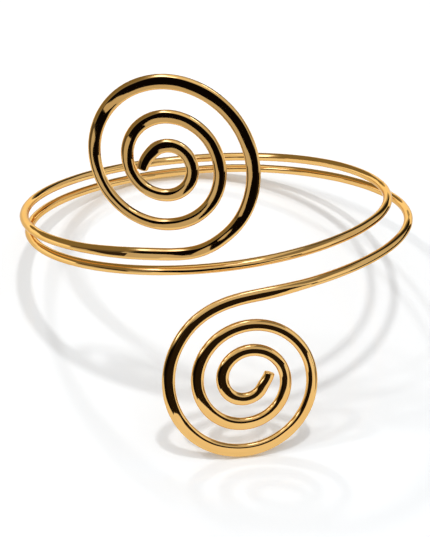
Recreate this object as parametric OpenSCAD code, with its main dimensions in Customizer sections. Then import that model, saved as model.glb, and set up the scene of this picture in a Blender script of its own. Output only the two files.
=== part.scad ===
// Upper arm cuff, bent from one length of polished round wire.
// The wire goes twice round the arm. At the front each of its ends is pressed flat and wound
// into an open spiral: one spiral stands above the band, the other hangs below it.
// The cuff lies as it comes to rest by itself, on the rim of the lower spiral and on the back
// of the band, with its front lifted.
// Millimetres, with X to the right, Y to the back and Z up.
// The origin is on the floor, under the middle of the cuff's box.

/* [Wire] */
// Diameter of the round wire
wire_d = 2; // [1.8:0.1:2.2]
// How square the pressed wire's section is, where 2 is an oval
press_power = 2.6; // [2:0.2:4]
// How much wider than round the wire is where its section gets that square
press_onset = 0.4; // [0.2:0.1:0.8]
// How fast the wire thins as it is pressed wider, where 1 keeps the section's area
press_thinning = 1.4; // [1:0.1:1.6]

/* [Band] */
// Mean radius of the band, to the middle of the wire
band_r = 42; // [40:0.5:46]
// Length over which the wire turns from round to flat at the upper spiral
upper_taper = 18; // [8:1:24]
// Length over which the wire turns from round to flat at the lower spiral
lower_taper = 12; // [8:1:24]

/* [Upper spiral] */
// How far left of the front the spiral's face touches the band, in degrees
upper_left = 19.5; // [15:0.5:25]
// How far its top leans out from the band, in degrees
upper_flare = 3; // [0:0.5:6]
// Distance of its eye to the right of that touching line
upper_eye_x = 6.8; // [5:0.1:8]
// Height of its eye over the band's wire
upper_eye_z = 19.3; // [19:0.1:21]
// Direction from its eye to its inner end, in degrees anticlockwise from the right
upper_start = 196; // [190:1:200]
// Pull of the bend into the band, where it leaves the spiral
upper_pull = 7; // [6:0.5:8]
// Pull of the same bend, where it reaches the band
upper_band_pull = 8.5; // [7:0.5:10]

/* [Lower spiral] */
// How far right of the front the spiral's face touches the band, in degrees
lower_right = 11; // [8:0.5:16]
// How far its bottom leans out from the band, in degrees
lower_flare = 3; // [0:0.5:6]
// Distance of its eye to the left of that touching line
lower_eye_x = 4.1; // [3:0.1:5]
// Depth of its eye under the band's wire
lower_eye_z = 18; // [17.8:0.1:20]
// Direction from its eye to its inner end, in degrees anticlockwise from the right
lower_start = 15; // [10:1:20]
// Pull of the bend into the band, where it leaves the spiral
lower_pull = 8.5; // [7:0.5:10]
// Pull of the same bend, where it reaches the band
lower_band_pull = 4; // [3:0.5:5]

/* [Rest] */
// How far the front of the band is lifted off level, in degrees
front_lift = 21.7; // [18:0.1:26]
// How far its right side is lifted off level, in degrees
right_lift = 7.5; // [4:0.1:10]

/* [Hidden] */

// Sides of the wire's section, and the steps that the rings are spaced by
SIDES = 12;
BAND_STEP = 4.2;
SPIRAL_STEP = 8;
BEND_STEPS = 6;

// Bends of the band. The turn is counted from the front to the left, round the back and on
// for two whole turns. Out is how far the wire lies outside the mean radius.
// Columns: turn, out, height
BAND = [
    [upper_left, 0.5, 4.3],
    [60, 0, 3.9],
    [120, -0.1, 2.9],
    [180, -1.6, 1.8],
    [240, -2.8, 1.6],
    [300, -2.1, 1.4],
    [360, -1.9, 0.2],
    [420, -1.6, -0.5],
    [480, 0.6, -1.2],
    [540, 1.1, -1.9],
    [600, 1.8, -3.4],
    [660, 2, -3.7],
    [2 * 360 - lower_right, 1.4, -5.4]
];

// Winding of each spiral from its inner end outwards, clockwise as seen from the front.
// Columns: turned, radius, width of the pressed wire
UPPER = [
    [0, 5.3, 2.2],
    [30, 3.9, 2.5],
    [60, 3.3, 2.7],
    [120, 3.5, 2.75],
    [240, 6, 2.6],
    [360, 7.7, 2.5],
    [480, 9.4, 2.75],
    [600, 11.7, 2.55],
    [720, 14.5, 2.4],
    [840, 16.3, 3.05],
    [970, 18.4, 2.55]
];
LOWER = [
    [0, 5, 2.2],
    [30, 3.6, 2.4],
    [60, 3.4, 2.5],
    [120, 3.7, 2.6],
    [240, 5.8, 2.6],
    [360, 7.8, 2.4],
    [480, 9.1, 2.6],
    [600, 11, 2.6],
    [720, 13.3, 2.3],
    [840, 14.9, 2.7],
    [955, 16.9, 2.6]
];

// A spiral, by its table, the turn where its face touches the band, its flare, its eye beside and
// over that point, the direction of its inner end, and the pulls of its bend into the band
TABLE = 0;
TOUCH = 1;
FLARE = 2;
EYE = 3;
START = 4;
PULLS = 5;
UPPER_COIL = [
    UPPER, upper_left, -upper_flare, [upper_eye_x, upper_eye_z], upper_start,
    [upper_pull, upper_band_pull]
];
LOWER_COIL = [
    LOWER, 2 * 360 - lower_right, lower_flare, [-lower_eye_x, -lower_eye_z], lower_start,
    [lower_pull, lower_band_pull]
];

// A smooth curve through the rows of a table, by column against the first column
function last(list) = list[len(list) - 1];
function row_below(table, x, k = 0) =
    k + 2 < len(table) && table[k + 1][0] <= x ? row_below(table, x, k + 1) : k;
function rise(table, column, k, m) =
    (table[m][column] - table[k][column]) / (table[m][0] - table[k][0]);
function slope(table, column, k) =
    k == 0 ? 2 * rise(table, column, 0, 1) - rise(table, column, 0, 2) :
    k == len(table) - 1 ? 2 * rise(table, column, k - 1, k) - rise(table, column, k - 2, k) :
    rise(table, column, k - 1, k + 1);
function at(table, column, x) =
    let (k = row_below(table, x), span = table[k + 1][0] - table[k][0], t = (x - table[k][0]) / span)
    table[k][column] * (2 * pow(t, 3) - 3 * pow(t, 2) + 1) +
    table[k + 1][column] * (3 * pow(t, 2) - 2 * pow(t, 3)) +
    slope(table, column, k) * span * (pow(t, 3) - 2 * pow(t, 2) + t) +
    slope(table, column, k + 1) * span * (pow(t, 3) - pow(t, 2));
function ease(t) = let (s = min(1, max(0, t))) s * s * (3 - 2 * s);
function unit(v) = v / norm(v);
function steps(from, to, size) =
    let (n = ceil((to - from) / size)) [for (i = [0 : n]) from + (to - from) * i / n];

// A station of the wire is its middle point, the direction that a pressed face looks in, and
// its width. These are the stations of the band.
function outward(turn) = [-sin(turn), -cos(turn), 0];
function band_point(turn) =
    outward(turn) * (band_r + at(BAND, 1, turn)) + [0, 0, at(BAND, 2, turn)];
function band_width(turn) =
    let (
        arc = PI * band_r / 180,
        upper = 1 - ease((turn - BAND[0][0]) * arc / upper_taper),
        lower = 1 - ease((last(BAND)[0] - turn) * arc / lower_taper)
    )
    wire_d + upper * (last(UPPER)[2] - wire_d) + lower * (last(LOWER)[2] - wire_d);

// The stations of a spiral, from its inner end outwards, and of the bend from it to the band
function along(coil) = [cos(coil[TOUCH]), -sin(coil[TOUCH]), 0];
function up(coil) = [0, 0, cos(coil[FLARE])] - outward(coil[TOUCH]) * sin(coil[FLARE]);
function coil_point(coil, turned) =
    let (r = at(coil[TABLE], 1, turned), a = coil[START] - turned)
    band_point(coil[TOUCH]) +
    along(coil) * (coil[EYE][0] + r * cos(a)) +
    up(coil) * (coil[EYE][1] + r * sin(a));
function coil_face(coil) = cross(along(coil), up(coil));
function coil_stations(coil) = [
    for (turned = steps(0, last(coil[TABLE])[0], SPIRAL_STEP))
        [coil_point(coil, turned), coil_face(coil), at(coil[TABLE], 2, turned)]
];
function bend_stations(coil, onward) =
    let (
        end = last(coil[TABLE])[0],
        p0 = coil_point(coil, end),
        p3 = band_point(coil[TOUCH]),
        p1 = p0 + unit(p0 - coil_point(coil, end - 1)) * coil[PULLS][0],
        p2 = p3 - unit(band_point(coil[TOUCH] + onward) - p3) * coil[PULLS][1]
    )
    [
        for (i = [1 : BEND_STEPS - 1])
            let (t = i / BEND_STEPS, s = 1 - t)
            [
                pow(s, 3) * p0 + 3 * s * s * t * p1 + 3 * s * t * t * p2 + pow(t, 3) * p3,
                unit(s * coil_face(coil) + t * outward(coil[TOUCH])),
                last(coil[TABLE])[2]
            ]
    ];
function reversed(list) = [for (i = [len(list) - 1 : -1 : 0]) list[i]];

// The whole wire, from the upper spiral's inner end to the lower spiral's
WIRE = concat(
    coil_stations(UPPER_COIL),
    bend_stations(UPPER_COIL, 1),
    [
        for (turn = steps(BAND[0][0], last(BAND)[0], BAND_STEP))
            [band_point(turn), outward(turn), band_width(turn)]
    ],
    reversed(bend_stations(LOWER_COIL, -1)),
    reversed(coil_stations(LOWER_COIL))
);

// The section, an oval that gets squarer and thinner as the wire is pressed wider
function thickness(width) = wire_d * pow(wire_d / width, press_thinning);
function power(width) = 2 + (press_power - 2) * ease((width - wire_d) / press_onset);
function rounded(c, p) = sign(c) * pow(abs(c), 2 / p);
function heading(k) =
    unit(WIRE[min(k + 1, len(WIRE) - 1)][0] - WIRE[max(k - 1, 0)][0]);
function ring(k) =
    let (
        station = WIRE[k],
        ahead = heading(k),
        face = unit(station[1] - ahead * (ahead * station[1])),
        across = cross(ahead, face),
        p = power(station[2])
    )
    [
        for (i = [0 : SIDES - 1])
            station[0] +
            across * rounded(cos(360 * i / SIDES), p) * station[2] / 2 +
            face * rounded(sin(360 * i / SIDES), p) * thickness(station[2]) / 2
    ];

// The cuff at rest: its front and then its right side lifted, on the floor under its middle
function rested(p) =
    let (
        y = p[1] * cos(front_lift) + p[2] * sin(front_lift),
        z = p[2] * cos(front_lift) - p[1] * sin(front_lift)
    )
    [p[0] * cos(right_lift) - z * sin(right_lift), y, z * cos(right_lift) + p[0] * sin(right_lift)];
SKIN = [for (k = [0 : len(WIRE) - 1]) for (p = ring(k)) rested(p)];
function low(axis) = min([for (p = SKIN) p[axis]]);
function high(axis) = max([for (p = SKIN) p[axis]]);
FOOT = [(low(0) + high(0)) / 2, (low(1) + high(1)) / 2, low(2)];

module cuff_wire() {
    last_ring = (len(WIRE) - 1) * SIDES;
    sides = [
        for (k = [0 : len(WIRE) - 2]) for (i = [0 : SIDES - 1])
            let (a = k * SIDES + i, b = k * SIDES + (i + 1) % SIDES)
            [a, b, b + SIDES, a + SIDES]
    ];
    inner_end = [for (i = [SIDES - 1 : -1 : 0]) i];
    outer_end = [for (i = [0 : SIDES - 1]) last_ring + i];
    color("goldenrod")
        polyhedron([for (p = SKIN) p - FOOT], concat([inner_end], sides, [outer_end]));
}

cuff_wire();
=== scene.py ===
import math

import bpy
from mathutils import Matrix, Vector


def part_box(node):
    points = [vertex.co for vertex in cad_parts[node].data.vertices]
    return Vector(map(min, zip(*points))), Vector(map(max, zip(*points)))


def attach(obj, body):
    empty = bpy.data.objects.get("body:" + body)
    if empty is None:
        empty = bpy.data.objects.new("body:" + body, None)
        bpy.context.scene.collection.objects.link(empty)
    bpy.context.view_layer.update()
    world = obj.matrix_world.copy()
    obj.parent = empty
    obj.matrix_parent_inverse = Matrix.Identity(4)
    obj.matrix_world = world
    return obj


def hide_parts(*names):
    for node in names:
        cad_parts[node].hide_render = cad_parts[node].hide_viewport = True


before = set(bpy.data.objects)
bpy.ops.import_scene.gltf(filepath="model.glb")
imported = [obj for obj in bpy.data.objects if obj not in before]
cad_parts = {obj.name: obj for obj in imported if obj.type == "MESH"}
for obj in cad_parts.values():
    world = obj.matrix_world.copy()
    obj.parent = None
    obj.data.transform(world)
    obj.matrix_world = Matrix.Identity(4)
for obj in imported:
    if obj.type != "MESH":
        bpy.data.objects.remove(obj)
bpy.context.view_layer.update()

# The cuff's own sizes, in millimetres and degrees, as in the CAD source
WIRE_D = 2.0
PRESS_POWER = 2.6
PRESS_ONSET = 0.4
PRESS_THINNING = 1.4
BAND_R = 42
UPPER_TAPER = 18
LOWER_TAPER = 12
UPPER_LEFT = 19.5
LOWER_RIGHT = 11
FRONT_LIFT = 21.7
RIGHT_LIFT = 7.5

# Bends of the band. The turn is counted from the front to the left, round the back and on for
# two whole turns. Out is how far the wire lies outside the mean radius.
# Columns: turn, out, height
BAND = (
    (UPPER_LEFT, 0.5, 4.3),
    (60, 0, 3.9),
    (120, -0.1, 2.9),
    (180, -1.6, 1.8),
    (240, -2.8, 1.6),
    (300, -2.1, 1.4),
    (360, -1.9, 0.2),
    (420, -1.6, -0.5),
    (480, 0.6, -1.2),
    (540, 1.1, -1.9),
    (600, 1.8, -3.4),
    (660, 2, -3.7),
    (2 * 360 - LOWER_RIGHT, 1.4, -5.4),
)
# Winding of each spiral from its inner end outwards, clockwise as seen from the front.
# Columns: turned, radius, width of the pressed wire
UPPER = (
    (0, 5.3, 2.2),
    (30, 3.9, 2.5),
    (60, 3.3, 2.7),
    (120, 3.5, 2.75),
    (240, 6, 2.6),
    (360, 7.7, 2.5),
    (480, 9.4, 2.75),
    (600, 11.7, 2.55),
    (720, 14.5, 2.4),
    (840, 16.3, 3.05),
    (970, 18.4, 2.55),
)
LOWER = (
    (0, 5, 2.2),
    (30, 3.6, 2.4),
    (60, 3.4, 2.5),
    (120, 3.7, 2.6),
    (240, 5.8, 2.6),
    (360, 7.8, 2.4),
    (480, 9.1, 2.6),
    (600, 11, 2.6),
    (720, 13.3, 2.3),
    (840, 14.9, 2.7),
    (955, 16.9, 2.6),
)

# A spiral, by its table, the turn where its face touches the band, its flare, its eye beside and
# over that point, the direction of its inner end, and the pulls of its bend into the band
UPPER_COIL = dict(
    table=UPPER, touch=UPPER_LEFT, flare=-3, eye=(6.8, 19.3), start=196, pulls=(7, 8.5)
)
LOWER_COIL = dict(
    table=LOWER,
    touch=2 * 360 - LOWER_RIGHT,
    flare=3,
    eye=(-4.1, -18),
    start=15,
    pulls=(8.5, 4),
)

# How finely the wire is drawn
SIDES = 48
BAND_STEP = 0.75
COIL_STEP = 2.5
BEND_STEPS = 28
# The bevel at each end of the wire. Columns: way along the wire, size of the section
END_BEVEL = ((0, 0.84), (0.06, 0.95), (0.16, 1))


def rise(table, column, k, m):
    return (table[m][column] - table[k][column]) / (table[m][0] - table[k][0])


def slope(table, column, k):
    end = len(table) - 1
    if k == 0:
        return 2 * rise(table, column, 0, 1) - rise(table, column, 0, 2)
    if k == end:
        return 2 * rise(table, column, end - 1, end) - rise(table, column, end - 2, end)
    return rise(table, column, k - 1, k + 1)


def at(table, column, x):
    """A smooth curve through the rows of a table, by column against the first column."""
    k = 0
    while k + 2 < len(table) and table[k + 1][0] <= x:
        k += 1
    span = table[k + 1][0] - table[k][0]
    t = (x - table[k][0]) / span
    return (
        table[k][column] * (2 * t**3 - 3 * t**2 + 1)
        + table[k + 1][column] * (3 * t**2 - 2 * t**3)
        + slope(table, column, k) * span * (t**3 - 2 * t**2 + t)
        + slope(table, column, k + 1) * span * (t**3 - t**2)
    )


def ease(t):
    s = min(1, max(0, t))
    return s * s * (3 - 2 * s)


def steps(start, end, size):
    n = math.ceil((end - start) / size)
    return [start + (end - start) * i / n for i in range(n + 1)]


def sin(degrees):
    return math.sin(math.radians(degrees))


def cos(degrees):
    return math.cos(math.radians(degrees))


def outward(turn):
    return Vector((-sin(turn), -cos(turn), 0))


def band_point(turn):
    return outward(turn) * (BAND_R + at(BAND, 1, turn)) + Vector((0, 0, at(BAND, 2, turn)))


def band_width(turn):
    arc = math.pi * BAND_R / 180
    upper = 1 - ease((turn - BAND[0][0]) * arc / UPPER_TAPER)
    lower = 1 - ease((BAND[-1][0] - turn) * arc / LOWER_TAPER)
    return WIRE_D + upper * (UPPER[-1][2] - WIRE_D) + lower * (LOWER[-1][2] - WIRE_D)


def coil_axes(coil):
    along = Vector((cos(coil["touch"]), -sin(coil["touch"]), 0))
    up = Vector((0, 0, cos(coil["flare"]))) - outward(coil["touch"]) * sin(coil["flare"])
    return along, up


def coil_point(coil, turned):
    along, up = coil_axes(coil)
    r = at(coil["table"], 1, turned)
    a = coil["start"] - turned
    return (
        band_point(coil["touch"])
        + along * (coil["eye"][0] + r * cos(a))
        + up * (coil["eye"][1] + r * sin(a))
    )


def coil_stations(coil):
    """Stations of a spiral: middle point, the way the pressed face looks, width."""
    along, up = coil_axes(coil)
    table = coil["table"]
    return [
        (coil_point(coil, turned), along.cross(up), at(table, 2, turned))
        for turned in steps(0, table[-1][0], COIL_STEP)
    ]


def bend_stations(coil, onward):
    """Stations of the bend from a spiral to the band."""
    along, up = coil_axes(coil)
    touch = coil["touch"]
    end = coil["table"][-1][0]
    p0 = coil_point(coil, end)
    p3 = band_point(touch)
    p1 = p0 + (p0 - coil_point(coil, end - 1)).normalized() * coil["pulls"][0]
    p2 = p3 - (band_point(touch + onward) - p3).normalized() * coil["pulls"][1]
    stations = []
    for i in range(1, BEND_STEPS):
        t = i / BEND_STEPS
        s = 1 - t
        point = s**3 * p0 + 3 * s * s * t * p1 + 3 * s * t * t * p2 + t**3 * p3
        face = (s * along.cross(up) + t * outward(touch)).normalized()
        stations.append((point, face, coil["table"][-1][2]))
    return stations


def wire_stations():
    """The whole wire, from the upper spiral's inner end to the lower spiral's."""
    band = [
        (band_point(turn), outward(turn), band_width(turn))
        for turn in steps(BAND[0][0], BAND[-1][0], BAND_STEP)
    ]
    return (
        coil_stations(UPPER_COIL)
        + bend_stations(UPPER_COIL, 1)
        + band
        + bend_stations(LOWER_COIL, -1)[::-1]
        + coil_stations(LOWER_COIL)[::-1]
    )


def rested(p):
    """From the band's own axes to those of the cuff as it lies."""
    y = p.y * cos(FRONT_LIFT) + p.z * sin(FRONT_LIFT)
    z = p.z * cos(FRONT_LIFT) - p.y * sin(FRONT_LIFT)
    return Vector(
        (
            p.x * cos(RIGHT_LIFT) - z * sin(RIGHT_LIFT),
            y,
            z * cos(RIGHT_LIFT) + p.x * sin(RIGHT_LIFT),
        )
    )


def section(width):
    """Points round the section, as offsets across the face and out of it."""
    power = 2 + (PRESS_POWER - 2) * ease((width - WIRE_D) / PRESS_ONSET)
    thickness = WIRE_D * (WIRE_D / width) ** PRESS_THINNING
    points = []
    for i in range(SIDES):
        c = cos(360 * i / SIDES)
        s = sin(360 * i / SIDES)
        across = math.copysign(abs(c) ** (2 / power), c) * width / 2
        out = math.copysign(abs(s) ** (2 / power), s) * thickness / 2
        points.append((across, out))
    return points


def build_wire():
    """The smooth wire as one closed mesh, in metres, standing where the CAD's cuff stands."""
    stations = wire_stations()
    last = len(stations) - 1
    rings = []
    run = 0
    for k, (point, face, width) in enumerate(stations):
        ahead = (stations[min(k + 1, last)][0] - stations[max(k - 1, 0)][0]).normalized()
        face = (face - ahead * ahead.dot(face)).normalized()
        across = ahead.cross(face)
        run += (point - stations[max(k - 1, 0)][0]).length
        shape = section(width)
        inset = ((0, 1),)
        if k == 0:
            inset = END_BEVEL
        elif k == last:
            inset = tuple((-way, size) for way, size in reversed(END_BEVEL))
        for way, size in inset:
            ring = []
            for a, o in shape:
                spot = point + ahead * way + (across * a + face * o) * size
                ring.append((rested(spot), (run + way, a, o)))
            rings.append(ring)
    verts = [spot for ring in rings for spot, own in ring]
    owns = [own for ring in rings for spot, own in ring]
    faces = []
    for k in range(len(rings) - 1):
        for i in range(SIDES):
            a = k * SIDES + i
            b = k * SIDES + (i + 1) % SIDES
            faces.append((a, b, b + SIDES, a + SIDES))
    n_sides = len(faces)
    faces.append(tuple(range(SIDES - 1, -1, -1)))
    faces.append(tuple(range(len(verts) - SIDES, len(verts))))

    low = Vector([min(v[i] for v in verts) for i in range(3)])
    high = Vector([max(v[i] for v in verts) for i in range(3)])
    foot = Vector(((low.x + high.x) / 2, (low.y + high.y) / 2, low.z))
    # The smooth section is a little fuller than the CAD's, so the wire is fitted into its box
    cad_low, cad_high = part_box("cuff_wire")
    fit = min((cad_high[i] - cad_low[i]) / (high[i] - low[i]) for i in range(3))
    mesh = bpy.data.meshes.new("smooth_wire")
    mesh.from_pydata([(v - foot) * fit for v in verts], [], faces)
    mesh.polygons.foreach_set("use_smooth", [i < n_sides for i in range(len(faces))])
    own = mesh.attributes.new("wire_mm", "FLOAT_VECTOR", "POINT")
    own.data.foreach_set("vector", [x for row in owns for x in row])
    mesh.validate()
    mesh.update()
    piece = bpy.data.objects.new("smooth_wire", mesh)
    bpy.context.scene.collection.objects.link(piece)
    return piece


wire = build_wire()
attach(wire, "root")
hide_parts("cuff_wire")

# The camera stands where the photograph was taken from, a little off level
CAMERA_AT = Vector((-0.0287, -0.2549, 0.2272))
LOOKS_AT = Vector((0.0004, 0.0035, 0.0065))
CAMERA_ROLL = 5.37
LENS = 99.8
FILM = 36
NEAREST = 0.01
FARTHEST = 20


def place(thing, at_point, to_point, roll=0):
    """Puts a camera or lamp at a point, looking at another, turned about its own axis."""
    turn = (to_point - at_point).to_track_quat("-Z", "Y").to_matrix().to_4x4()
    spin = Matrix.Rotation(math.radians(roll), 4, "Z")
    thing.matrix_world = Matrix.Translation(at_point) @ turn @ spin


scene = bpy.context.scene
film = bpy.data.cameras.new("camera")
film.sensor_fit = "VERTICAL"
film.sensor_width = FILM
film.sensor_height = FILM
film.lens = LENS
film.clip_start = NEAREST
film.clip_end = FARTHEST
camera = bpy.data.objects.new("camera", film)
scene.collection.objects.link(camera)
place(camera, CAMERA_AT, LOOKS_AT, CAMERA_ROLL)
scene.camera = camera

# The gold where it is deepest and palest, the tint of its edges, and the range of its roughness
GOLD_DEEP = (0.84, 0.5, 0.165, 1)
GOLD_PALE = (0.88, 0.56, 0.21, 1)
EDGE_TINT = (0.8, 0.65, 0.45, 1)
ROUGHNESS = (0.03, 0.06)
# The surface's noises, by how often they change per millimetre along the wire, across it and out
# of it, and by their detail
CLOUD = ((0.12, 0.5, 0.5), 3)
LINES = ((0.06, 7, 7), 2)
WAVES = ((0.16, 0.25, 0.25), 0)
# The part of a noise's range that its values mostly keep to
NOISE_SPAN = (0.3, 0.7)
# Depth of the polished surface's waves and of its faint lines, in metres
WAVE_HEIGHT = 0.0002
LINE_HEIGHT = 0.000001


def node_material(name):
    material = bpy.data.materials.new(name)
    material.use_nodes = True
    tree = material.node_tree
    tree.nodes.clear()
    return material, tree


def add(tree, kind, inputs=None, **settings):
    """A node with its settings and inputs. An input may be a value or another node's output."""
    node = tree.nodes.new(kind)
    for name, value in settings.items():
        setattr(node, name, value)
    for name, value in (inputs or {}).items():
        if isinstance(value, bpy.types.NodeSocket):
            tree.links.new(value, node.inputs[name])
        else:
            node.inputs[name].default_value = value
    return node


def noise(tree, where, stretch, detail):
    """Noise over the wire's own millimetres, stretched along it, across it and out of it."""
    scaled = add(tree, "ShaderNodeVectorMath", {0: where, 1: stretch}, operation="MULTIPLY")
    return add(
        tree, "ShaderNodeTexNoise", {"Vector": scaled.outputs[0], "Scale": 1, "Detail": detail}
    ).outputs["Fac"]


def ranged(tree, value, low, high):
    """A noise value, which keeps near the middle, spread from low to high."""
    spread = {"Value": value, 1: NOISE_SPAN[0], 2: NOISE_SPAN[1], 3: low, 4: high}
    return add(tree, "ShaderNodeMapRange", spread).outputs[0]


def gold_material():
    """Polished plate over drawn wire: a slow waviness, faint lines along it and a varied gloss."""
    material, tree = node_material("polished_gold")
    where = add(tree, "ShaderNodeAttribute", attribute_name="wire_mm").outputs["Vector"]
    cloud = noise(tree, where, *CLOUD)
    lines = noise(tree, where, *LINES)
    waves = noise(tree, where, *WAVES)
    colour = add(
        tree,
        "ShaderNodeMix",
        {0: ranged(tree, cloud, 0, 1), 6: GOLD_DEEP, 7: GOLD_PALE},
        data_type="RGBA",
    )
    wavy = add(tree, "ShaderNodeBump", {"Strength": 1, "Distance": WAVE_HEIGHT, "Height": waves})
    lined = add(
        tree,
        "ShaderNodeBump",
        {"Strength": 1, "Distance": LINE_HEIGHT, "Height": lines, "Normal": wavy.outputs[0]},
    )
    shader = add(
        tree,
        "ShaderNodeBsdfPrincipled",
        {
            "Metallic": 1,
            "Specular Tint": EDGE_TINT,
            "Base Color": colour.outputs[2],
            "Roughness": ranged(tree, cloud, *ROUGHNESS),
            "Normal": lined.outputs[0],
        },
    )
    out = add(tree, "ShaderNodeOutputMaterial")
    tree.links.new(shader.outputs[0], out.inputs["Surface"])
    return material


wire.data.materials.append(gold_material())

# The studio: a pale board, five lamps that light it, and the table, cards and room that the
# gold mirrors
FLOOR_R = 1
FLOOR_Z = -0.0002
FLOOR_WHITE = (0.9, 0.9, 0.9, 1)
FLOOR_GLOSS = 0.03
FLOOR_ROUGHNESS = 0.08
# The directions, in degrees, in which the round floor and backdrop have their corners
ROUND = range(0, 360, 10)

# The lamps. The gold mirrors none of them.
# Columns: name, azimuth, elevation, distance, size, watts
LAMPS = (
    ("key", 90, 89, 1.2, 0.08, 3.6),
    ("left", -99, 51, 1.3, 0.07, 1.8),
    ("left_front", -84, 57, 1.3, 0.07, 1.3),
    ("behind", -158, 42, 1.3, 0.1, 2.5),
    ("sky", 0, 90, 1.5, 4, 44),
)
LAMP_COLOUR = (0.965, 0.985, 1)

# The table is a glowing sheet of painted light that stands in for the lamp-lit board, without shadows.
# The outline of the table that the gold mirrors, cut back in front where the dark room shows.
# Columns: x, y
TABLE = (
    (-0.55, 0.5),
    (-0.55, -0.5),
    (-0.24, -0.345),
    (-0.03, -0.105),
    (0.012, -0.105),
    (0.11, -0.35),
    (0.5, -0.35),
    (0.5, 0.5),
)
TABLE_Z = -0.0004
# The table's light in front and at the back, and between which depths it changes
TABLE_LIGHT = (0.97, 1.3)
TABLE_BACK = (0.05, 0.12)
# Painted shade at the table's left front: its colour, its way, and where that way it begins and is
# full
TABLE_DIM = (0.62, 0.6, 0.58, 1)
TABLE_DIM_WAY = (-0.7, -0.7, 0)
TABLE_DIM_SPAN = (0.065, 0.1)

# The low white card's top edge. Columns: x, z
LOW_CARD_TOP = (
    (0.07, 0.036),
    (0.047, 0.028),
    (0.037, 0.0205),
    (0.032, 0.016),
    (0.025, 0.013),
    (0.0185, 0.0145),
    (0.0095, 0.0145),
    (-0.002, 0.013),
    (-0.013, 0.0065),
)
LOW_CARD_Y = -0.085
LOW_CARD_COLOUR = (1, 0.98, 0.95)

# Other standing cards. Columns: name, colour, and x, y, lowest z and highest z of each end
STANDING = (
    ("dark_card", (0.018, 0.013, 0.008), (0, -0.125, 0, 0.06), (0.13, -0.125, 0, 0.052)),
    (
        "left_dark_card",
        (0.035, 0.027, 0.02),
        (-0.11, -0.045, 0.007, 0.027),
        (-0.06, -0.06, 0.007, 0.027),
    ),
    ("far_dark_card", (0.12, 0.1, 0.07), (-0.17, -0.13, 0, 0.05), (-0.17, -0.01, 0, 0.05)),
    ("near_card", (0.97, 0.95, 0.92), (-0.045, -0.068, 0, 0.02), (-0.006, -0.072, 0, 0.0095)),
    ("right_dark_card", (0.03, 0.022, 0.015), (0.085, -0.045, 0, 0.024), (0.085, 0.05, 0, 0.024)),
    ("right_front_card", (0.32, 0.27, 0.2), (0.085, -0.1, 0, 0.02), (0.085, -0.045, 0, 0.02)),
    ("left_card", (1.3, 1.25, 1.15), (-0.09, -0.02, 0, 0.02), (-0.09, 0.04, 0, 0.02)),
)
# Level cards. Columns: name, colour, height, and x, y of each corner
LEVEL = (
    (
        "lying_dark_card",
        (0.12, 0.1, 0.07),
        0.0003,
        ((-0.13, -0.07), (-0.6, -0.15), (-0.6, -0.36), (-0.17, -0.135)),
    ),
    (
        "top_card",
        (0.26, 0.25, 0.22),
        0.11,
        ((0.04, -0.1), (0.11, -0.1), (0.11, 0.03), (0.04, 0.03)),
    ),
)

# What the gold mirrors beyond the table and cards, by direction
ROOM_BASE = (0.72, 0.71, 0.69, 1)
WHITE = (1, 0.99, 0.98)
CREAM = (1, 0.97, 0.9)
TAN = (1, 0.85, 0.5)
# Tint of the dark, unlit front of the room, which the gold mirrors as near black shade
UNLIT_ROOM_TINT = (1, 0.7, 0.4)
GLINT = (0.9, 0.96, 1.4)
# The room's patches, later ones over earlier ones.
# Columns: azimuth, elevation, half width, half height, softness, colour, strength
ROOM = (
    (80, 25, 70, 40, 12, WHITE, 0.66),
    (62, 19, 18, 20, 12, WHITE, 1),
    (180, 22, 42, 22, 14, (1, 0.95, 0.95), 0.22),
    (-115, 20, 62, 30, 14, TAN, 0.24),
    (-150, 42, 28, 8, 8, TAN, 0.26),
    (152, 20, 12, 28, 7, (1, 1, 0.7), 0.02),
    (-40, 50, 20, 14, 14, CREAM, 0.98),
    (-52, 35, 10, 8, 8, CREAM, 1.1),
    (-72, 49, 14, 9, 8, CREAM, 1.2),
    (-125, 60, 45, 8, 8, CREAM, 1.1),
    (-54, 34, 8, 2.5, 3, GLINT, 5),
    (-68, 44, 8, 2.5, 3, GLINT, 5),
    (-86, 52, 12, 2.5, 3, GLINT, 4),
    (0, 66, 12, 3, 4, GLINT, 3.5),
    (28, 75, 16, 3, 4, GLINT, 4.5),
    (60, 84, 60, 3, 4, GLINT, 6),
    (12, -15, 10, 13, 6, (1, 0.8, 0.55), 0.05),
    # The dark, unlit front of the room, mirrored as near black shade
    (-23, 1, 30, 27, 7, UNLIT_ROOM_TINT, 0.004),
    (7, 3, 12, 14, 6, UNLIT_ROOM_TINT, 0.01),
    (-60, -15, 12, 9, 5, (1, 0.85, 0.6), 0.33),
)

# A pale backdrop for the low views, which lights nothing
BACK_R = 6
BACK_Z = (-0.1, 4)
BACK_COLOUR = (0.89, 0.9, 0.91)


def stage_mesh(name, verts, faces, material):
    mesh = bpy.data.meshes.new(name)
    mesh.from_pydata(verts, [], faces)
    mesh.materials.append(material)
    thing = bpy.data.objects.new(name, mesh)
    scene.collection.objects.link(thing)
    return thing


def shaded(name, shader_of):
    """A material from the shader that a function builds in its tree, not sampled as a lamp."""
    material, tree = node_material(name)
    out = add(tree, "ShaderNodeOutputMaterial")
    tree.links.new(shader_of(tree), out.inputs["Surface"])
    material.cycles.emission_sampling = "NONE"
    return material


def glow(name, colour):
    """A material that shines evenly in one colour."""
    return shaded(
        name, lambda tree: add(tree, "ShaderNodeEmission", {"Color": (*colour, 1)}).outputs[0]
    )


def direction(azimuth, elevation):
    """Azimuth 0 is towards the front, and positive to the right."""
    return Vector(
        (sin(azimuth) * cos(elevation), -cos(azimuth) * cos(elevation), sin(elevation))
    )


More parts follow.
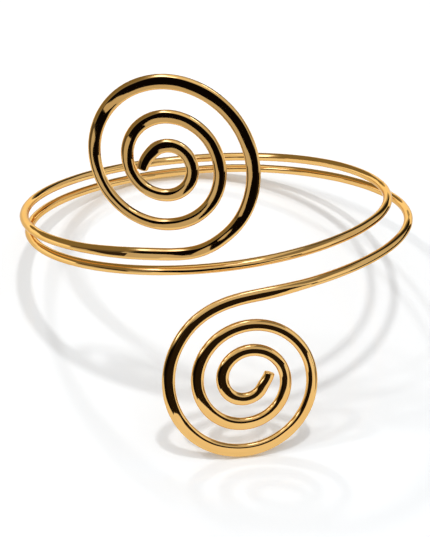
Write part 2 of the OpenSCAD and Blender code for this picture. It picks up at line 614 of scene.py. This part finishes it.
def lamp(name, azimuth, elevation, distance, size, watts):
    """A round lamp that shines at the cuff's foot and isn't seen in the gold."""
    light = bpy.data.lights.new(name, "AREA")
    light.shape = "DISK"
    light.size = size
    light.energy = watts
    light.color = LAMP_COLOUR
    thing = bpy.data.objects.new(name, light)
    scene.collection.objects.link(thing)
    place(thing, direction(azimuth, elevation) * distance, Vector((0, 0, 0)))
    thing.visible_glossy = False


def floor_shader(tree):
    """White board with a faint gloss."""
    white = add(tree, "ShaderNodeBsdfDiffuse", {"Color": FLOOR_WHITE})
    gloss = add(
        tree, "ShaderNodeBsdfGlossy", {"Color": (1, 1, 1, 1), "Roughness": FLOOR_ROUGHNESS}
    )
    shares = {0: FLOOR_GLOSS, 1: white.outputs[0], 2: gloss.outputs[0]}
    return add(tree, "ShaderNodeMixShader", shares).outputs[0]


floor = stage_mesh(
    "floor",
    [(FLOOR_R * cos(a), FLOOR_R * sin(a), FLOOR_Z) for a in ROUND],
    [tuple(range(len(ROUND)))],
    shaded("floor", floor_shader),
)
floor.visible_glossy = False
floor.visible_shadow = False


def mirrored_only(thing):
    """Leaves a thing to be seen in the gold alone."""
    thing.visible_camera = False
    thing.visible_diffuse = False
    thing.visible_shadow = False


def table_shader(tree):
    """The lit board as the gold mirrors it, painted as a glow: brighter at its back, with painted
    shade at its left front.
    """

    def from_to(value, span, low, high):
        inputs = {"Value": value, 1: span[0], 2: span[1], 3: low, 4: high}
        return add(tree, "ShaderNodeMapRange", inputs).outputs[0]

    where = add(tree, "ShaderNodeTexCoord").outputs["Object"]
    side = add(tree, "ShaderNodeVectorMath", {0: where, 1: TABLE_DIM_WAY}, operation="DOT_PRODUCT")
    back = add(tree, "ShaderNodeSeparateXYZ", {0: where}).outputs[1]
    colour = add(
        tree,
        "ShaderNodeMix",
        {
            0: from_to(side.outputs["Value"], TABLE_DIM_SPAN, 0, 1),
            6: from_to(back, TABLE_BACK, *TABLE_LIGHT),
            7: TABLE_DIM,
        },
        data_type="RGBA",
    )
    return add(tree, "ShaderNodeEmission", {"Color": colour.outputs[2]}).outputs[0]


table = stage_mesh(
    "table",
    [(x, y, TABLE_Z) for x, y in TABLE],
    [tuple(range(len(TABLE)))],
    shaded("table", table_shader),
)
mirrored_only(table)


def card(name, colour, corners):
    """A card that the gold mirrors, from its corners."""
    mirrored_only(stage_mesh(name, corners, [tuple(range(len(corners)))], glow(name, colour)))


low_card_foot = [(x, LOW_CARD_Y, 0) for x in (LOW_CARD_TOP[-1][0], LOW_CARD_TOP[0][0])]
card("low_card", LOW_CARD_COLOUR, low_card_foot + [(x, LOW_CARD_Y, z) for x, z in LOW_CARD_TOP])
for name, colour, (x0, y0, low0, high0), (x1, y1, low1, high1) in STANDING:
    card(name, colour, [(x0, y0, low0), (x1, y1, low1), (x1, y1, high1), (x0, y0, high0)])
for name, colour, height, corners in LEVEL:
    card(name, colour, [(x, y, height) for x, y in corners])

for row in LAMPS:
    lamp(*row)


def room_colour(tree):
    """The studio's colour by direction, from the rows of ROOM."""
    way = add(tree, "ShaderNodeTexCoord")
    xyz = add(tree, "ShaderNodeSeparateXYZ", {0: way.outputs["Generated"]})

    def maths(operation, *values):
        node = add(tree, "ShaderNodeMath", dict(enumerate(values)), operation=operation)
        return node.outputs[0]

    def mask(angle, middle, half, soft, turn):
        away = maths("SUBTRACT", angle, middle)
        if turn:
            away = maths("WRAP", away, 180, -180)
        away = maths("ABSOLUTE", away)
        edge = add(
            tree,
            "ShaderNodeMapRange",
            {"Value": away, 1: half - soft / 2, 2: half + soft / 2, 3: 1, 4: 0},
            interpolation_type="SMOOTHSTEP",
        )
        return edge.outputs[0]

    azimuth = maths("DEGREES", maths("ARCTAN2", xyz.outputs[0], maths("MULTIPLY", xyz.outputs[1], -1)))
    elevation = maths("DEGREES", maths("ARCSINE", xyz.outputs[2]))
    colour = ROOM_BASE
    for az, el, half_w, half_h, soft, tint, strength in ROOM:
        here = maths(
            "MULTIPLY",
            mask(azimuth, az, half_w, soft, True),
            mask(elevation, el, half_h, soft, False),
        )
        mix = add(
            tree,
            "ShaderNodeMix",
            {0: here, 6: colour, 7: (*(strength * c for c in tint), 1)},
            data_type="RGBA",
        )
        colour = mix.outputs[2]
    return colour


world = bpy.data.worlds.new("studio")
scene.world = world
world.use_nodes = True
tree = world.node_tree
tree.links.new(room_colour(tree), tree.nodes["Background"].inputs["Color"])
world.cycles_visibility.diffuse = False

around = len(ROUND)
backdrop = stage_mesh(
    "backdrop",
    [(BACK_R * cos(a), BACK_R * sin(a), z) for z in BACK_Z for a in ROUND],
    [(i, (i + 1) % around, (i + 1) % around + around, i + around) for i in range(around)]
    + [tuple(range(around))],
    glow("backdrop", BACK_COLOUR),
)
backdrop.visible_diffuse = False
backdrop.visible_glossy = False
backdrop.visible_shadow = False

scene.view_settings.view_transform = "Standard"
